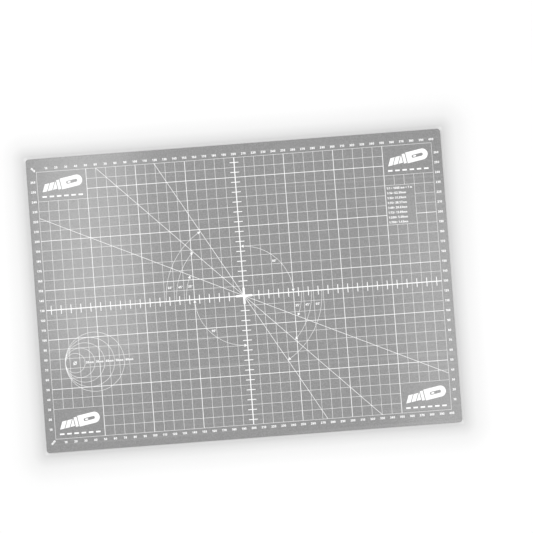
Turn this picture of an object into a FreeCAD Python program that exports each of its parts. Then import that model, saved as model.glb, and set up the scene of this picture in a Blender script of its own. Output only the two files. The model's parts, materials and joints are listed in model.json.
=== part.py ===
"""Self-healing cutting mat, A3 size, printed in white on the front and in black on the back.

The mat is five bonded plies: a self-healing skin on each face, a soft ply behind each skin and a
stiff core in the middle. The artwork on each face is a thin ink film, split into nodes by what it
is for: frame, fine grid, bold grid, centre axes, angle lines, arcs, numerals and so on. No two
films overlap: where lines cross, the lesser line stops at the edges of the greater one.

Millimetres. X runs along the long side, Y along the short side and Z up through the mat, with the
origin at the middle of the underside. Artwork is laid out in grid units, u along X and v along Y,
counted from the lower left corner of the printed frame.
"""

import FreeCAD
import Part
import math
import os

# ---- mat ----
MAT_LENGTH = 420.0
MAT_WIDTH = 297.0
MAT_THICKNESS = 3.0
CORNER_RADIUS = 3.0
EDGE_RADIUS = 0.3  # rolled edge that die cutting leaves on each skin
INK_FILM = 0.05
SKIN = 0.6
CORE = 0.4
SOFT_PLY = (MAT_THICKNESS - 2 * INK_FILM - 2 * SKIN - CORE) / 2

# ---- grid ----
PITCH = 10.0
COLUMNS = 40
ROWS = 27
BOLD_EVERY = 5
AXIS_U = 20
AXIS_V = 13

# ---- line widths ----
FINE = 0.28
BOLD = 0.56
AXIS = 0.96
CROSS = 2.2
TICK = 0.76
ANGLE = 0.42
ARC = 0.3
THINNEST = 0.15  # trimming leaves no piece with a mean width under this

TICK_HALF = 4.5
CROSS_ARM = 8.2

# ---- angle guides: degrees and arc radius ----
GUIDES = ((25, 58.0), (45, 68.0), (60, 78.5))
RIGHT_ANGLE_RADIUS = 50.0
ARROW_LENGTH = 2.8
ARROW_WIDTH = 3.0

# ---- circle template: all circles touch at its left end ----
TEMPLATE_U = 1.5
TEMPLATE_V = 7.5
DIAMETERS = (20, 30, 40, 50, 60)
LABEL_CLEAR = 1.0  # from each circle to the size beside it
WINDOW = 0.25  # clear margin in the grid round each size
RING_STAGGER = 0.06  # each smaller ring starts this much further in, so that no two edges touch

# ---- lettering: cap heights and places ----
NUMERAL_CAP = 2.3
LABEL_CAP = 2.35
UNIT_CAP = 2.9
TABLE_CAP = 2.25
NUMERAL_OFFSET_ROW = 3.55
NUMERAL_OFFSET_COLUMN = 4.2
CAP_UNITS = 8.0
STROKE = 1.8  # in cap units, as all glyph sizes are
GAP = 1.0

# ---- areas kept free of the grid, in grid units ----
EMBLEM_COLUMNS = 5
EMBLEM_ROWS = 3
TABLE_U = (35, 38)
TABLE_V = (19, 23)
TABLE_HEAD = "1:1 = 1000 mm = 1 m"
SCALES = ((16, "62.50"), (32, "31.25"), (35, "28.57"), (48, "20.83"), (72, "13.89"), (200, "5.00"),
          (700, "1.43"))

# ---- emblem: a snap-off craft knife over a dashed cut line ----
KNIFE_LENGTH = 42.0
KNIFE_LEAN = 10.0
KNIFE_RISE = 1.6
BLADE_HALF = 3.7
BLADE_SEGMENTS = 3
SEGMENT_LENGTH = 5.4
SEGMENT_SLANT = 4.2
SLIT = 0.8
COLLAR_LENGTH = 3.0
COLLAR_HALF = 4.9
HANDLE_HALF = 5.6
SLOT_HALF = 1.5
SLOT_ENDS = (27.0, 35.5)
SLIDER_LENGTH = 3.0
DASHES = 6
DASH_LENGTH = 4.6
DASH_PITCH = 7.3
DASH_WIDTH = 1.6
DASH_DROP = 10.4

UP = FreeCAD.Vector(0, 0, 1)


def at(u, v):
    """Grid units to millimetres."""
    return (u - COLUMNS / 2) * PITCH, (v - ROWS / 2) * PITCH


# ---------------------------------------------------------------- film shapes

def film(*wires):
    """A closed wire, and any holes in it, as a film of ink."""
    return Part.makeFace(list(wires), "Part::FaceMakerBullseye").extrude(UP * INK_FILM)


def outline(points):
    return Part.makePolygon([FreeCAD.Vector(x, y, 0) for x, y in [*points, points[0]]])


def polygon(*points):
    return film(outline(points))


def rectangle(x0, y0, x1, y1):
    return polygon((x0, y0), (x1, y0), (x1, y1), (x0, y1))


def bar(x0, y0, x1, y1, width):
    """A straight line of ink of that width from one point to another."""
    half = width / 2 / math.hypot(x1 - x0, y1 - y0)
    dx, dy = -(y1 - y0) * half, (x1 - x0) * half
    return polygon((x0 - dx, y0 - dy), (x1 - dx, y1 - dy), (x1 + dx, y1 + dy), (x0 + dx, y0 + dy))


def circle_wire(x, y, radius):
    return Part.Wire(Part.Circle(FreeCAD.Vector(x, y, 0), UP, radius).toShape())


def ring(x, y, radius, width):
    return film(circle_wire(x, y, radius + width / 2), circle_wire(x, y, radius - width / 2))


def arc(x, y, radius, width, start, end):
    """A line of ink along part of a circle, from start to end in degrees."""
    a, b = math.radians(start), math.radians(end)
    centre = FreeCAD.Vector(x, y, 0)
    edges = [Part.ArcOfCircle(Part.Circle(centre, UP, r), a, b).toShape()
             for r in (radius + width / 2, radius - width / 2)]
    for angle in (a, b):
        ends = [FreeCAD.Vector(x + r * math.cos(angle), y + r * math.sin(angle), 0)
                for r in (radius - width / 2, radius + width / 2)]
        edges.append(Part.makeLine(*ends))
    return film(Part.Wire(Part.__sortEdges__(edges)))


def stadium(x0, y0, x1, y1, width):
    """The wire round a bar with half-round ends."""
    angle = math.atan2(y1 - y0, x1 - x0)
    half = width / 2
    ends = []
    for x, y, turn in ((x1, y1, -math.pi / 2), (x0, y0, math.pi / 2)):
        circle = Part.Circle(FreeCAD.Vector(x, y, 0), UP, half)
        ends.append(Part.ArcOfCircle(circle, angle + turn, angle + turn + math.pi).toShape())
    sides = []
    for side in (-half, half):
        dx, dy = -math.sin(angle) * side, math.cos(angle) * side
        sides.append(Part.makeLine(FreeCAD.Vector(x0 + dx, y0 + dy, 0),
                                   FreeCAD.Vector(x1 + dx, y1 + dy, 0)))
    return Part.Wire(Part.__sortEdges__(ends + sides))


def fused(shapes):
    if len(shapes) == 1:
        return shapes[0]
    return shapes[0].multiFuse(shapes[1:]).removeSplitter()


def near(a, b):
    """Do two shapes' boxes meet?"""
    return a.BoundBox.intersect(b.BoundBox)


def mean_width(solid):
    """A film's face area over half its outline."""
    face = solid.Volume / INK_FILM
    rim = (solid.Area - 2 * face) / INK_FILM
    return 2 * face / rim


def without(shapes, blockers):
    """Each shape less whatever blockers cross it, as single solids, slivers left out."""
    kept = []
    for shape in shapes:
        tools = [b for b in blockers if near(shape, b)]
        kept.extend((shape.cut(tools) if tools else shape).Solids)
    return [solid for solid in kept if mean_width(solid) > THINNEST]


def moved(shapes, x, y, turn=0.0):
    """Copies of the shapes, turned about the origin in degrees and then moved."""
    place = FreeCAD.Placement(FreeCAD.Vector(x, y, 0), FreeCAD.Rotation(UP, turn))
    copies = [s.copy() for s in shapes]
    for copy in copies:
        copy.Placement = place.multiply(copy.Placement)
    return copies


def half_turn(shapes):
    """Copies turned by 180 degrees about the point where the axes cross."""
    x, y = at(AXIS_U, AXIS_V)
    return moved(shapes, 2 * x, 2 * y, 180)


# ---------------------------------------------------------------- lettering

def glyph_zero():
    wide, tall, mid = 5.0, CAP_UNITS, 2.5
    outer = stadium(mid, mid, mid, tall - mid, wide)
    return [film(outer, stadium(mid, mid, mid, tall - mid, wide - 2 * STROKE))]


def glyph_one():
    return [polygon((1.9, 0), (3.7, 0), (3.7, 8), (2.3, 8), (0.4, 6.6), (0.4, 4.8), (1.9, 5.8))]


def glyph_two():
    bowl, lean = 2.5 - STROKE / 2, -40
    x = 2.5 + bowl * math.cos(math.radians(lean))
    y = 5.5 + bowl * math.sin(math.radians(lean))
    drop = y - STROKE / 2
    foot = x - drop * math.tan(math.radians(-lean))
    return [arc(2.5, 5.5, bowl, STROKE, lean, 175), bar(x, y, foot, STROKE / 2, STROKE),
            rectangle(0, 0, 5, STROKE)]


# Radius of a bowl's centre line, where two bowls share the middle stroke of a 3 or an 8.
BOWL = (CAP_UNITS - STROKE) / 4
LOW_BOWL = BOWL + STROKE / 2
HIGH_BOWL = CAP_UNITS - LOW_BOWL


def glyph_three():
    middle = CAP_UNITS / 2
    return [arc(2.4, HIGH_BOWL, BOWL, STROKE, -90, 155), arc(2.4, LOW_BOWL, BOWL, STROKE, -155, 90),
            rectangle(1.4, middle - STROKE / 2, 2.4, middle + STROKE / 2)]


def glyph_four():
    outer = outline([(2.7, 0), (4.5, 0), (4.5, 1.5), (5.3, 1.5), (5.3, 3.2), (4.5, 3.2), (4.5, 8),
                     (2.7, 8), (0, 3.2), (0, 1.5), (2.7, 1.5)])
    return [film(outer, outline([(1.7, 3.2), (2.7, 3.2), (2.7, 4.9)]))]


def glyph_five():
    top = CAP_UNITS - STROKE
    return [rectangle(0.3, top, 4.7, CAP_UNITS), rectangle(0.3, 3.6, 0.3 + STROKE, CAP_UNITS),
            arc(2.4, 2.6, 2.6 - STROKE / 2, STROKE, -155, 128)]


def glyph_six():
    return [ring(2.5, 2.5, 2.5 - STROKE / 2, STROKE), rectangle(0, 2.5, STROKE, 5.5),
            arc(2.5, 5.5, 2.5 - STROKE / 2, STROKE, 25, 180)]


def glyph_seven():
    return [polygon((0, 6.2), (3.0, 6.2), (0.7, 0), (2.6, 0), (5, 6.5), (5, 8), (0, 8))]


def glyph_eight():
    return [ring(2.4, HIGH_BOWL, BOWL, STROKE), ring(2.4, LOW_BOWL, BOWL, STROKE)]


def glyph_nine():
    return moved(glyph_six(), 5.0, CAP_UNITS, 180)


def glyph_m():
    arch, stem, spring = 1.25, 1.6, 3.6
    stems = [rectangle(x, 0, x + stem, spring) for x in (0, 2 * arch, 4 * arch)]
    arches = [arc(x + arch + stem / 2, spring, arch, stem, 0, 180) for x in (0, 2 * arch)]
    return stems + arches


def glyph_degree():
    return [ring(1.4, 6.6, 0.9, 1.0)]


def glyph_colon():
    return [rectangle(0, low, STROKE, low + STROKE) for low in (0.6, 4.2)]


def glyph_point():
    return [rectangle(0, 0, STROKE, STROKE)]


def glyph_equals():
    return [rectangle(0, low, 4, low + 1.4) for low in (1.5, 4.2)]


# Each character's strokes and how wide it is, in cap units.
GLYPHS = {
    "0": (glyph_zero, 5.0), "1": (glyph_one, 4.1), "2": (glyph_two, 5.0), "3": (glyph_three, 4.8),
    "4": (glyph_four, 5.3), "5": (glyph_five, 5.0), "6": (glyph_six, 5.0), "7": (glyph_seven, 5.0),
    "8": (glyph_eight, 4.8), "9": (glyph_nine, 5.0), "m": (glyph_m, 6.6), "°": (glyph_degree, 2.8),
    ":": (glyph_colon, 1.8), ".": (glyph_point, 1.8), "=": (glyph_equals, 4.0),
}
SPACE = 2.0
_made = {}


def glyph(character, cap):
    """One character of that cap height as fused solids, its lower left corner at the origin."""
    if (character, cap) not in _made:
        strokes = fused(GLYPHS[character][0]()).Solids
        scale = FreeCAD.Matrix()
        scale.scale(cap / CAP_UNITS, cap / CAP_UNITS, 1)
        _made[character, cap] = [s.transformGeometry(scale) for s in strokes]
    return _made[character, cap]


def text_width(text, cap):
    widths = [SPACE if c == " " else GLYPHS[c][1] for c in text]
    return (sum(widths) + GAP * (len(text) - 1)) * cap / CAP_UNITS


def text(words, x, y, cap=NUMERAL_CAP, align="centre", turn=0.0):
    """A line of lettering, as solids. x is its centre or left end, and y is its middle height."""
    pen = -text_width(words, cap) / 2 if align == "centre" else 0.0
    letters = []
    for character in words:
        if character != " ":
            letters.extend(moved(glyph(character, cap), pen, -cap / 2))
        width = SPACE if character == " " else GLYPHS[character][1]
        pen += (width + GAP) * cap / CAP_UNITS
    return moved(letters, x, y, turn)


# ---------------------------------------------------------------- artwork, one function a node

def frame_ink():
    x0, y0 = at(0, 0)
    x1, y1 = at(COLUMNS, ROWS)
    rectangles = []
    for out in (FINE / 2, -FINE / 2):
        corners = [(x0 - out, y0 - out), (x1 + out, y0 - out), (x1 + out, y1 + out), (x0 - out, y1 + out)]
        rectangles.append(outline(corners))
    return [film(*rectangles)]


def axis_bars():
    """The two centre axes, a heavy cross where they meet, and ticks halfway between grid lines."""
    cx, cy = at(AXIS_U, AXIS_V)
    x0, y0 = at(0, 0)
    x1, y1 = at(COLUMNS, ROWS)
    inset = FINE / 2
    bars = [bar(x0 + inset, cy, x1 - inset, cy, AXIS), bar(cx, y0 + inset, cx, y1 - inset, AXIS),
            bar(cx - CROSS_ARM, cy, cx + CROSS_ARM, cy, CROSS),
            bar(cx, cy - CROSS_ARM, cx, cy + CROSS_ARM, CROSS)]
    for column in range(COLUMNS):
        x, _ = at(column + 0.5, 0)
        if abs(x - cx) > CROSS_ARM:
            bars.append(bar(x, cy - TICK_HALF, x, cy + TICK_HALF, TICK))
    for row in range(ROWS):
        _, y = at(0, row + 0.5)
        if abs(y - cy) > CROSS_ARM:
            bars.append(bar(cx - TICK_HALF, y, cx + TICK_HALF, y, TICK))
    return bars


def grid_area():
    """Everything inside the frame line, as a film to trim other lines with."""
    x0, y0 = at(0, 0)
    x1, y1 = at(COLUMNS, ROWS)
    inset = FINE / 2
    return rectangle(x0 + inset, y0 + inset, x1 - inset, y1 - inset)


def angle_bars():
    """Lines through the centre, falling to the right at each guide angle, trimmed to the frame."""
    cx, cy = at(AXIS_U, AXIS_V)
    reach = math.hypot(MAT_LENGTH, MAT_WIDTH)
    inside = grid_area()
    lines = []
    for degrees, _ in GUIDES:
        dx, dy = math.cos(math.radians(degrees)) * reach, -math.sin(math.radians(degrees)) * reach
        lines.append(bar(cx - dx, cy - dy, cx + dx, cy + dy, ANGLE).common(inside))
    return lines


def arrowhead(radius, angle, forward):
    """A solid arrowhead on an arc, its tip at the angle; forward is 1 to point anticlockwise."""
    cx, cy = at(AXIS_U, AXIS_V)
    a = math.radians(angle)
    tip = (cx + radius * math.cos(a), cy + radius * math.sin(a))
    along = (-math.sin(a) * forward, math.cos(a) * forward)
    out = (math.cos(a), math.sin(a))
    base = [tip[i] - along[i] * ARROW_LENGTH for i in (0, 1)]
    sides = [(base[0] + out[0] * w, base[1] + out[1] * w) for w in (ARROW_WIDTH / 2, -ARROW_WIDTH / 2)]
    return polygon(tip, *sides)


def dimension_arcs():
    """Arcs with arrowheads: one quarter circle, one arc to each angle line, and all of them again
    on the opposite side of the centre."""
    cx, cy = at(AXIS_U, AXIS_V)
    heads_in = ARROW_LENGTH / 2
    quarter_in = math.degrees(heads_in / RIGHT_ANGLE_RADIUS)
    quarter = [arc(cx, cy, RIGHT_ANGLE_RADIUS, ARC, quarter_in, 90 - quarter_in),
               arrowhead(RIGHT_ANGLE_RADIUS, math.degrees(AXIS / 2 / RIGHT_ANGLE_RADIUS), -1),
               arrowhead(RIGHT_ANGLE_RADIUS, 90 - math.degrees(AXIS / 2 / RIGHT_ANGLE_RADIUS), 1)]
    marks = [fused(quarter)]
    for degrees, radius in GUIDES:
        end = 180 - degrees
        short = end + math.degrees(heads_in / radius)
        tip = end + math.degrees(ANGLE / 2 / radius)
        marks.append(fused([arc(cx, cy, radius, ARC, short, 180), arrowhead(radius, tip, -1)]))
    return marks + half_turn(marks)


def angle_labels_ink():
    """Degrees beside each arc, on both sides of the centre."""
    cx, cy = at(AXIS_U, AXIS_V)
    clear, height, diagonal = 4.7, 13.5, 33.0
    letters = []
    for degrees, radius in GUIDES:
        for side in (-1, 1):
            letters += text(f"{degrees}°", cx + side * (radius - clear), cy - side * height, LABEL_CAP)
    for side in (-1, 1):
        letters += text("90°", cx + side * diagonal, cy + side * diagonal, LABEL_CAP)
    return letters


def circle_template():
    """Rings that all meet at the left end, as one piece, each its size across the outside."""
    x, y = at(TEMPLATE_U, TEMPLATE_V)
    rings = []
    for step, diameter in enumerate(reversed(DIAMETERS)):
        start = x + ARC / 2 + step * RING_STAGGER
        radius = (diameter - ARC) / 2
        rings.append(ring(start + radius, y, radius, ARC))
    return [fused(rings)]


def circle_labels_ink():
    """The sign for diameter in the smallest circle, and each circle's size to its right."""
    x, y = at(TEMPLATE_U, TEMPLATE_V)
    sign, slash, line = 1.45, 2.5, 0.6
    centre = x + DIAMETERS[0] / 2
    lean = slash / math.sqrt(2)
    letters = [fused([ring(centre, y, sign, line),
                      bar(centre - lean, y - lean, centre + lean, y + lean, line)])]
    for diameter in DIAMETERS:
        letters += text(f"{diameter}mm", x + diameter + LABEL_CLEAR, y, LABEL_CAP, "left")
    return letters


def label_windows():
    """Clear areas in the grid behind the circle sizes."""
    x, y = at(TEMPLATE_U, TEMPLATE_V)
    start, half = LABEL_CLEAR - WINDOW, LABEL_CAP / 2 + WINDOW
    end = LABEL_CLEAR + text_width("20mm", LABEL_CAP) + WINDOW
    return [rectangle(x + d + start, y - half, x + d + end, y + half) for d in DIAMETERS]


def bold_row(start, end, row):
    """A level bold line that stops at the frame line and laps over the table's border line."""
    half = FINE / 2
    x0, y = at(start, row)
    x1, _ = at(end, row)
    x0 += {0: half, TABLE_U[1]: -half}.get(start, 0)
    x1 -= {COLUMNS: half}.get(end, 0)
    return bar(x0, y, x1, y, BOLD)


def bold_grid_ink(blockers):
    """Every fifth line, left out where it would cross the emblems or the table."""
    _, y0 = at(0, 0)
    _, y1 = at(0, ROWS)
    inset = FINE / 2
    lines = []
    for column in range(BOLD_EVERY, COLUMNS, BOLD_EVERY):
        x, _ = at(column, 0)
        if column != AXIS_U:
            lines.append(bar(x, y0 + inset, x, y1 - inset, BOLD))
    for row in range(BOLD_EVERY, ROWS, BOLD_EVERY):
        spans = [(0, COLUMNS)]
        if TABLE_V[0] < row < TABLE_V[1]:
            spans = [(0, TABLE_U[0]), (TABLE_U[1], COLUMNS)]
        if row > ROWS - EMBLEM_ROWS:
            spans = [(EMBLEM_COLUMNS, COLUMNS - EMBLEM_COLUMNS)]
        lines += [bold_row(start, end, row) for start, end in spans]
    return without(fused(lines).Solids, blockers)


def bands(count, axis):
    """The runs of grid between one bold line, axis or frame line and the next, as pairs."""
    stops = sorted({0, axis, count, *range(BOLD_EVERY, count, BOLD_EVERY)})
    return list(zip(stops, stops[1:]))


def line_width(index, count, axis):
    if index in (0, count):
        return FINE
    return AXIS if index == axis else BOLD


def fine_block(columns, rows):
    """The fine lines that fill one block between heavier lines, fused into one lattice."""
    (u0, u1), (v0, v1) = columns, rows
    xa, ya = at(u0, v0)
    xb, yb = at(u1, v1)
    xa += line_width(u0, COLUMNS, AXIS_U) / 2
    xb -= line_width(u1, COLUMNS, AXIS_U) / 2
    ya += line_width(v0, ROWS, AXIS_V) / 2
    yb -= line_width(v1, ROWS, AXIS_V) / 2
    upright = [at(u, 0)[0] for u in range(u0 + 1, u1)]
    level = [at(0, v)[1] for v in range(v0 + 1, v1)]
    lines = [bar(x, ya, x, yb, FINE) for x in upright] + [bar(xa, y, xb, y, FINE) for y in level]
    return fused(lines)


def kept_free():
    """Films over the areas that hold no grid, each reaching to the inner edge of its border line."""
    half = FINE / 2
    areas = []
    for u0, u1 in ((0, EMBLEM_COLUMNS), (COLUMNS - EMBLEM_COLUMNS, COLUMNS)):
        for v0, v1 in ((0, EMBLEM_ROWS), (ROWS - EMBLEM_ROWS, ROWS)):
            areas.append((u0, u1, v0, v1))
    areas.append((*TABLE_U, *TABLE_V))
    films = []
    for u0, u1, v0, v1 in areas:
        x0, y0 = at(u0, v0)
        x1, y1 = at(u1, v1)
        films.append(rectangle(x0 + half, y0 + half, x1 - half, y1 - half))
    return films


def fine_grid_ink(blockers):
    """Fine lines at every division, block by block."""
    blocks = [fine_block(columns, rows) for columns in bands(COLUMNS, AXIS_U)
              for rows in bands(ROWS, AXIS_V)]
    return without(blocks, blockers + kept_free())


def row_numerals_ink(v, offset):
    """Millimetres along the top or bottom edge of the grid."""
    letters = []
    for column in range(1, COLUMNS + 1):
        x, y = at(column, v)
        letters += text(str(round(column * PITCH)), x, y + offset)
    return letters


def column_numerals_ink(u, offset):
    """Millimetres up the left or right edge of the grid."""
    letters = []
    for row in range(1, ROWS):
        x, y = at(u, row)
        letters += text(str(round(row * PITCH)), x + offset, y)
    return letters


def unit_marks_ink():
    """The unit, set on the slant at both left corners of the frame."""
    out = 2.9
    x, y0 = at(0, 0)
    _, y1 = at(0, ROWS)
    return (text("mm", x - out, y0 - out, UNIT_CAP, turn=45)
            + text("mm", x - out, y1 + out, UNIT_CAP, turn=-45))


def scale_table_ink():
    """What one metre measures at common model scales."""
    margin, first, step = 1.7, 2.9, 4.92
    x, y = at(TABLE_U[0], TABLE_V[1])
    letters = text(TABLE_HEAD, x + margin, y - first, TABLE_CAP, "left")
    for line, (ratio, length) in enumerate(SCALES, start=1):
        words = f"1:{ratio}= {length}mm"
        letters += text(words, x + margin, y - first - line * step, TABLE_CAP, "left")
    return letters


def blade():
    """The snap-off segments, each a leaning strip, and the last one square at the collar."""
    end = BLADE_SEGMENTS * SEGMENT_LENGTH
    strips = []
    for segment in range(BLADE_SEGMENTS):
        start = segment * SEGMENT_LENGTH
        foot = start + SEGMENT_LENGTH - SLIT
        head = min(foot + SEGMENT_SLANT, end - SLIT)
        strips.append(polygon((start, -BLADE_HALF), (foot, -BLADE_HALF), (head, BLADE_HALF),
                              (start + SEGMENT_SLANT, BLADE_HALF)))
    return strips


def knife_emblem():
    """The knife, centred on the origin and leaning, and the cut line under it."""
    collar = BLADE_SEGMENTS * SEGMENT_LENGTH
    handle = collar + COLLAR_LENGTH + SLIT
    round_end = KNIFE_LENGTH - HANDLE_HALF
    body = fused([rectangle(handle, -HANDLE_HALF, round_end, HANDLE_HALF),
                  film(circle_wire(round_end, 0, HANDLE_HALF))])
    slot = film(stadium(SLOT_ENDS[0], 0, SLOT_ENDS[1], 0, 2 * SLOT_HALF))
    slider = rectangle(SLOT_ENDS[0], -SLOT_HALF / 2, SLOT_ENDS[0] + SLIDER_LENGTH, SLOT_HALF / 2)
    collar_piece = rectangle(collar, -COLLAR_HALF, collar + COLLAR_LENGTH, COLLAR_HALF)
    parts = [*blade(), collar_piece, slider, *body.cut(slot).Solids]
    return moved(moved(parts, -KNIFE_LENGTH / 2, 0), 0, KNIFE_RISE, KNIFE_LEAN) + cut_line()


def cut_line():
    first = -(DASHES - 1) / 2 * DASH_PITCH
    middles = [first + n * DASH_PITCH for n in range(DASHES)]
    return [bar(x - DASH_LENGTH / 2, -DASH_DROP, x + DASH_LENGTH / 2, -DASH_DROP, DASH_WIDTH)
            for x in middles]


def emblems_ink():
    emblem = knife_emblem()
    places = []
    for u in (EMBLEM_COLUMNS / 2, COLUMNS - EMBLEM_COLUMNS / 2):
        for v in (EMBLEM_ROWS / 2, ROWS - EMBLEM_ROWS / 2):
            places += moved(emblem, *at(u, v))
    return places


def artwork():
    """Every ink film of one face, by node name, lying on the plane z = 0."""
    axes, lines, arcs = axis_bars(), angle_bars(), dimension_arcs()
    circles = circle_template()
    crossing = axes + lines + arcs + circles + label_windows()
    return {
        "border_frame_ink": frame_ink(),
        "centre_axes_ink": fused(axes).Solids,
        "angle_lines_ink": without([fused(lines)], axes),
        "angle_arcs_ink": without(arcs, axes + lines),
        "angle_labels_ink": angle_labels_ink(),
        "circle_template_ink": circles,
        "circle_labels_ink": circle_labels_ink(),
        "bold_grid_ink": bold_grid_ink(crossing),
        "fine_grid_ink": fine_grid_ink(crossing),
        "top_numerals_ink": row_numerals_ink(ROWS, NUMERAL_OFFSET_ROW),
        "bottom_numerals_ink": row_numerals_ink(0, -NUMERAL_OFFSET_ROW),
        "left_numerals_ink": column_numerals_ink(0, -NUMERAL_OFFSET_COLUMN),
        "right_numerals_ink": column_numerals_ink(COLUMNS, NUMERAL_OFFSET_COLUMN),
        "unit_marks_ink": unit_marks_ink(),
        "scale_table_ink": scale_table_ink(),
        "corner_emblems_ink": emblems_ink(),
    }


# ---------------------------------------------------------------- plies

def ply(low, high):
    """A rounded rectangle the size of the mat between two heights."""
    box = Part.makeBox(MAT_LENGTH, MAT_WIDTH, high - low,
                       FreeCAD.Vector(-MAT_LENGTH / 2, -MAT_WIDTH / 2, low))
    upright = [e for e in box.Edges if abs(e.tangentAt(e.FirstParameter).z) > 0.99]
    return box.makeFillet(CORNER_RADIUS, upright)


def rolled(shape, height):
    """The ply with its edge at that height rounded over."""
    edges = [e for e in shape.Edges if e.BoundBox.ZMax - height < 1e-6 and height - e.BoundBox.ZMin < 1e-6]
    return shape.makeFillet(EDGE_RADIUS, edges)


def plies():
    back = INK_FILM
    back_soft = back + SKIN
    core = back_soft + SOFT_PLY
    front_soft = core + CORE
    front = front_soft + SOFT_PLY
    top = front + SKIN
    return {
        "back_skin": rolled(ply(back, back_soft), back),
        "back_soft_ply": ply(back_soft, core),
        "stiff_core": ply(core, front_soft),
        "front_soft_ply": ply(front_soft, front),
        "front_skin": rolled(ply(front, top), top),
    }


def main():
    os.makedirs("parts", exist_ok=True)
    for name, shape in plies().items():
        shape.exportStep(f"parts/{name}.step")
    to_front = FreeCAD.Placement(UP * (MAT_THICKNESS - INK_FILM), FreeCAD.Rotation())
    over = FreeCAD.Rotation(FreeCAD.Vector(0, 1, 0), 180)
    to_back = FreeCAD.Placement(UP * INK_FILM, over)
    for name, solids in artwork().items():
        for face, place in (("front", to_front), ("back", to_back)):
            sheet = Part.makeCompound([s for part in solids for s in part.Solids])
            sheet.Placement = place
            sheet.exportStep(f"parts/{face}_{name}.step")


main()
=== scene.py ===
"""Self-healing cutting mat: materials, floor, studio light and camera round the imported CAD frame.

The CAD nodes keep their shapes. Each gets a procedural material at its real scale, in metres.
"""

import json
import math

import bpy
from mathutils import Matrix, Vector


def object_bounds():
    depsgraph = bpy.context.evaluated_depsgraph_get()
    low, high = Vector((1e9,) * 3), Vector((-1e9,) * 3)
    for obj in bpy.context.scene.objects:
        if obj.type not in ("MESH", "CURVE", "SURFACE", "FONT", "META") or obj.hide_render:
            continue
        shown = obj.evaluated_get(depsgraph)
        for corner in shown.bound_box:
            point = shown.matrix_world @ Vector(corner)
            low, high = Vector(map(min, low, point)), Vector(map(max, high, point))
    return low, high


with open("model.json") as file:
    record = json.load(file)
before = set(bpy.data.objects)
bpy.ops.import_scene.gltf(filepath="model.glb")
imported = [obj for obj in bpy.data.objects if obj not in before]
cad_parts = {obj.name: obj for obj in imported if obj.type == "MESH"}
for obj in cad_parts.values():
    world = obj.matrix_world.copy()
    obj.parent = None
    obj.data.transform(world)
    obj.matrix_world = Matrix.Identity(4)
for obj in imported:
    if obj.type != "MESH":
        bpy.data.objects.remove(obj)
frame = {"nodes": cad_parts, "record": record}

cad_box = [list(corner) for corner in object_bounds()]

# ---- camera: nearly straight above, turned a little, aimed right of and above the mat's centre ----
CAMERA_TURN = math.radians(4.32)
CAMERA_TILT = math.radians(0.95)
CAMERA_HEIGHT = 2.0
FIELD_WIDTH = 0.538
SENSOR = 36.0
AIM = (0.0248, 0.0227)

# ---- studio: light is given as radiance, where 1 lights a white floor to full white ----
SKY = 1.08
BOX_HEIGHT = 0.6
LEFT_BOX = {"x_range": (-0.267, -0.14), "y_range": (-0.083, 0.263), "radiance": 4.0}
RIGHT_BOX = {"x_range": (0.195, 0.3306), "y_range": (-0.257, 0.11), "radiance": 2.5}

# ---- floor ----
FLOOR_REACH = 6.0
FLOOR_TONES = (0.83, 0.85)
# The floor's contact shade is a painted shadow, a darkening of the floor's colour round the mat that
# the lamps do not cast
SHADE_REACH = 0.05  # how far out from the mat the contact shade goes
# Painted shadow: floor colour brightness at each fraction of that reach
SHADE = ((0.0, 0.9), (0.06, 0.715), (0.14, 0.775), (0.3, 0.878), (0.6, 0.955), (1.0, 1.0))

# ---- mat colours, as linear grey ----
FRONT_TONE = 0.25
BACK_TONE = 0.33
SOFT_PLY_TONE = 0.22
CORE_TONE = 0.5
WHITE_INK_TONE = 0.9
BLACK_INK_TONE = 0.035

# ---- surface detail: features to the metre, and heights in metres ----
PEBBLES = 2100.0
PEBBLE_HEIGHT = 0.000012
FINE_GRAIN = 5200.0
FINE_GRAIN_HEIGHT = 0.000004
FLECKS = 1100.0
PIN_HOLES = 2600.0
TRACK_DEPTH = 0.00003
STREAK_DEPTH = 0.00005
SOFT_PLY_STREAKS = 1800.0
CORE_STREAKS = 1100.0

# Knife tracks: which way each family runs in radians, and its noise scale along and across
TRACKS = ((0.03, (2.2, 310.0, 1)), (1.52, (2.6, 260.0, 1)), (0.82, (3.0, 230.0, 1)))


# ---------------------------------------------------------------- node helpers

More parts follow.
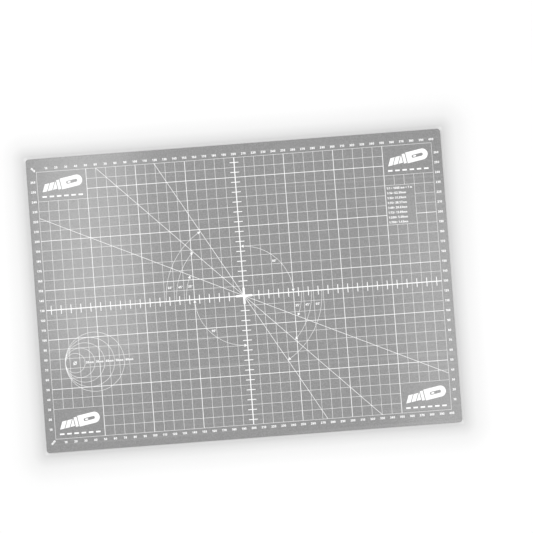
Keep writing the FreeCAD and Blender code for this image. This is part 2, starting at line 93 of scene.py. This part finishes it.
class Shader:
    """A material's node tree, with short calls for the nodes used here."""

    def __init__(self, name):
        self.material = bpy.data.materials.new(name)
        self.material.use_nodes = True
        self.tree = self.material.node_tree
        self.bsdf = self.tree.nodes["Principled BSDF"]
        self.coordinates = self.node("ShaderNodeTexCoord").outputs["Object"]

    def node(self, kind, **settings):
        made = self.tree.nodes.new(kind)
        for key, value in settings.items():
            setattr(made, key, value)
        return made

    def put(self, socket, value):
        """Links an output to the socket, or sets it to a plain value."""
        if isinstance(value, bpy.types.NodeSocket):
            self.tree.links.new(value, socket)
        else:
            socket.default_value = value

    def stretched(self, scale, turn=0.0):
        """Object coordinates turned about Z in radians and scaled along each axis."""
        mapping = self.node("ShaderNodeMapping")
        mapping.inputs["Scale"].default_value = scale
        mapping.inputs["Rotation"].default_value = (0, 0, turn)
        self.put(mapping.inputs["Vector"], self.coordinates)
        return mapping.outputs["Vector"]

    def noise(self, scale, detail=2.0, roughness=0.5, vector=None):
        made = self.node("ShaderNodeTexNoise")
        made.inputs["Scale"].default_value = scale
        made.inputs["Detail"].default_value = detail
        made.inputs["Roughness"].default_value = roughness
        self.put(made.inputs["Vector"], vector or self.coordinates)
        return made.outputs["Fac"]

    def cells(self, scale):
        """Distance from the middle of the nearest of many rounded cells."""
        made = self.node("ShaderNodeTexVoronoi", feature="F1")
        made.inputs["Scale"].default_value = scale
        self.put(made.inputs["Vector"], self.coordinates)
        return made.outputs["Distance"]

    def remap(self, value, low, high, to_low=0.0, to_high=1.0):
        """The value's range from low to high stretched to another range, and clamped there."""
        made = self.node("ShaderNodeMapRange", clamp=True)
        for socket, number in zip(list(made.inputs)[1:5], (low, high, to_low, to_high)):
            socket.default_value = number
        self.put(made.inputs["Value"], value)
        return made.outputs["Result"]

    def maths(self, operation, *values):
        made = self.node("ShaderNodeMath", operation=operation)
        for socket, value in zip(made.inputs, values):
            self.put(socket, value)
        return made.outputs["Value"]

    def mixed(self, factor, a, b):
        """Colour a at factor 0, and colour b at factor 1."""
        made = self.node("ShaderNodeMix", data_type="RGBA")
        colours = [socket for socket in made.inputs if socket.type == "RGBA"]
        self.put(made.inputs["Factor"], factor)
        self.put(colours[0], a)
        self.put(colours[1], b)
        return [socket for socket in made.outputs if socket.type == "RGBA"][0]

    def bump(self, height, distance, strength, under=None):
        """A normal raised by the height, on top of another normal if one is given."""
        made = self.node("ShaderNodeBump")
        made.inputs["Distance"].default_value = distance
        made.inputs["Strength"].default_value = strength
        self.put(made.inputs["Height"], height)
        if under is not None:
            self.put(made.inputs["Normal"], under)
        return made.outputs["Normal"]


def grey(value):
    return (value, value, value, 1.0)


# ---------------------------------------------------------------- materials

def embossed(shader, strength):
    """The fine pebbled grain pressed into the vinyl, about half a millimetre across."""
    pebbles = shader.remap(shader.cells(PEBBLES), 0.0, 0.75)
    grain = shader.bump(pebbles, PEBBLE_HEIGHT, strength)
    return shader.bump(shader.noise(FINE_GRAIN), FINE_GRAIN_HEIGHT, strength, under=grain)


def healed_cuts(shader):
    """Faint straight knife tracks that have closed up: 0 off them, up to 1 on them."""
    families = []
    for turn, scale in TRACKS:
        line = shader.noise(1.0, 0.0, vector=shader.stretched(scale, turn))
        families.append(shader.remap(line, 0.735, 0.765))
    first, second, third = families
    return shader.maths("MAXIMUM", shader.maths("MAXIMUM", first, second), third)


def skin_colour_with_painted_shade(shader, tone):
    """A slight mottle and fine flecks, with painted light and shade on the pebbles: lighter in the
    middle of each, darker at its edge.
    """
    mottle = shader.noise(14.0, 4.0, 0.6)
    base = shader.mixed(shader.remap(mottle, 0.3, 0.7), grey(tone * 0.97), grey(tone * 1.02))
    flecks = shader.noise(FLECKS, 3.0, 0.75)
    lightened = shader.mixed(shader.remap(flecks, 0.5, 0.66), base, grey(tone * 1.4))
    speckled = shader.mixed(shader.remap(flecks, 0.5, 0.34), lightened, grey(tone * 0.64))
    # Painted highlight and painted shade on the pebbles: a lighter copy for their tops, a darker
    # copy for the hollows between them
    painted_light_crowns = shader.mixed(0.3, speckled, grey(tone * 1.2))
    painted_dark_valleys = shader.mixed(0.45, speckled, grey(tone * 0.72))
    return shader.mixed(shader.remap(shader.cells(PEBBLES), 0.15, 0.6), painted_light_crowns, painted_dark_valleys)


def skin_material(name, tone):
    """Matte embossed vinyl with closed knife tracks and handling marks."""
    shader = Shader(name)
    tracks = healed_cuts(shader)
    track_colour = shader.maths("MULTIPLY", tracks, 0.22)
    marked = shader.mixed(track_colour, skin_colour_with_painted_shade(shader, tone), grey(tone * 1.35))
    shader.put(shader.bsdf.inputs["Base Color"], marked)
    wiped = shader.noise(30.0, 3.0, 0.55, shader.stretched((1.0, 3.0, 1.0), 0.4))
    shader.put(shader.bsdf.inputs["Roughness"], shader.remap(wiped, 0.3, 0.7, 0.155, 0.19))
    shader.bsdf.inputs["Specular IOR Level"].default_value = 0.5
    sunk = shader.maths("MULTIPLY", tracks, -1.0)
    cut = shader.bump(sunk, TRACK_DEPTH, 0.5, under=embossed(shader, 0.35))
    shader.put(shader.bsdf.inputs["Normal"], cut)
    return shader.material


def ink_material(name, tone, worn):
    """Screen-printed ink: thin, matte, lying in the grain, a little uneven and pin-holed."""
    shader = Shader(name)
    body = shader.remap(shader.noise(60.0, 3.0), 0.3, 0.7)
    even = shader.mixed(body, grey(tone * 0.97), grey(tone))
    holes = shader.remap(shader.noise(PIN_HOLES, 1.0), 0.66, 0.74)
    pinned = shader.maths("MULTIPLY", holes, 0.5)
    shader.put(shader.bsdf.inputs["Base Color"], shader.mixed(pinned, even, grey(worn)))
    shader.put(shader.bsdf.inputs["Roughness"], shader.remap(body, 0.0, 1.0, 0.5, 0.6))
    shader.put(shader.bsdf.inputs["Normal"], embossed(shader, 0.25))
    return shader.material


def ply_material(name, tone, streaks):
    """The die-cut edge of a ply, with fine upright cutter streaks."""
    shader = Shader(name)
    along = shader.noise(streaks, 3.0, 0.6, shader.stretched((1.0, 1.0, 0.08)))
    tint = shader.mixed(shader.remap(along, 0.35, 0.65), grey(tone * 0.86), grey(tone * 1.08))
    shader.put(shader.bsdf.inputs["Base Color"], tint)
    broad = shader.noise(25.0)
    shader.put(shader.bsdf.inputs["Roughness"], shader.remap(broad, 0.3, 0.7, 0.5, 0.62))
    shader.put(shader.bsdf.inputs["Normal"], shader.bump(along, STREAK_DEPTH, 0.6))
    return shader.material


def dress_mat():
    """Gives every CAD node the material of its slot in the record."""
    materials = {
        "front_skin": skin_material("front_skin", FRONT_TONE),
        "back_skin": skin_material("back_skin", BACK_TONE),
        "soft_ply": ply_material("soft_ply", SOFT_PLY_TONE, SOFT_PLY_STREAKS),
        "stiff_core": ply_material("stiff_core", CORE_TONE, CORE_STREAKS),
        "front_ink": ink_material("front_ink", WHITE_INK_TONE, FRONT_TONE),
        "back_ink": ink_material("back_ink", BLACK_INK_TONE, BACK_TONE),
    }
    for part in frame["record"]["subparts"]:
        slots = frame["nodes"][part["node"]].data.materials
        slots.clear()
        slots.append(materials[part["material_slot"]])


# ---------------------------------------------------------------- stage, light and camera

def painted_contact_shadow(shader):
    """Painted contact shadow: how light the floor's colour is round the mat, dim against its edge,
    clear a few centimetres out.
    """
    split = shader.node("ShaderNodeSeparateXYZ")
    shader.put(split.inputs["Vector"], shader.coordinates)
    squares = []
    for axis, half in zip("XY", cad_box[1]):
        away = shader.maths("SUBTRACT", shader.maths("ABSOLUTE", split.outputs[axis]), half)
        squares.append(shader.maths("POWER", shader.maths("MAXIMUM", away, 0.0), 2.0))
    distance = shader.maths("SQRT", shader.maths("ADD", *squares))
    ramp = shader.node("ShaderNodeValToRGB")
    shader.put(ramp.inputs["Fac"], shader.remap(distance, 0.0, SHADE_REACH))
    stops = ramp.color_ramp.elements
    for position, value in SHADE[1:-1]:
        stops.new(position).color = grey(value)
    stops[0].color = grey(SHADE[0][1])
    stops[-1].color = grey(SHADE[-1][1])
    return ramp.outputs["Color"]


def floor_material():
    shader = Shader("floor")
    dust = shader.remap(shader.noise(3.0, 3.0), 0.3, 0.7)
    tint = shader.mixed(dust, *[grey(tone) for tone in FLOOR_TONES])
    # The floor's colour, darkened round the mat by the painted contact shadow
    painted_shadow_floor_colour = shader.mixed(painted_contact_shadow(shader), grey(0.0), tint)
    shader.put(shader.bsdf.inputs["Base Color"], painted_shadow_floor_colour)
    shader.bsdf.inputs["Roughness"].default_value = 0.8
    return shader.material


def floor():
    """A wide pale floor under the mat."""
    reach = FLOOR_REACH
    corners = [(-reach, -reach, 0), (reach, -reach, 0), (reach, reach, 0), (-reach, reach, 0)]
    mesh = bpy.data.meshes.new("floor")
    mesh.from_pydata(corners, [], [(0, 1, 2, 3)])
    mesh.materials.append(floor_material())
    made = bpy.data.objects.new("floor", mesh)
    made.location.z = cad_box[0][2]
    bpy.context.scene.collection.objects.link(made)


def softbox(name, x_range, y_range, radiance):
    """A rectangular light facing straight down, giving that radiance."""
    width = x_range[1] - x_range[0]
    depth = y_range[1] - y_range[0]
    light = bpy.data.lights.new(name, "AREA")
    light.shape = "RECTANGLE"
    light.size = width
    light.size_y = depth
    light.energy = radiance * width * depth * math.pi
    made = bpy.data.objects.new(name, light)
    made.location = (sum(x_range) / 2, sum(y_range) / 2, BOX_HEIGHT)
    made.visible_camera = False
    bpy.context.scene.collection.objects.link(made)


def sky():
    world = bpy.data.worlds.new("studio")
    bpy.context.scene.world = world
    world.use_nodes = True
    background = world.node_tree.nodes["Background"]
    background.inputs["Color"].default_value = grey(1.0)
    background.inputs["Strength"].default_value = SKY


def camera():
    data = bpy.data.cameras.new("camera")
    data.sensor_width = SENSOR
    data.lens = SENSOR * CAMERA_HEIGHT / FIELD_WIDTH
    made = bpy.data.objects.new("camera", data)
    aimed = Matrix.Translation((*AIM, cad_box[1][2])) @ Matrix.Rotation(-CAMERA_TURN, 4, "Z")
    tilted = aimed @ Matrix.Rotation(CAMERA_TILT, 4, "X")
    made.matrix_world = tilted @ Matrix.Translation((0, 0, CAMERA_HEIGHT))
    bpy.context.scene.collection.objects.link(made)
    bpy.context.scene.camera = made


dress_mat()
floor()
sky()
softbox("left_box", **LEFT_BOX)
softbox("right_box", **RIGHT_BOX)
camera()
bpy.context.scene.view_settings.view_transform = "Standard"
bpy.context.scene.view_settings.look = "None"
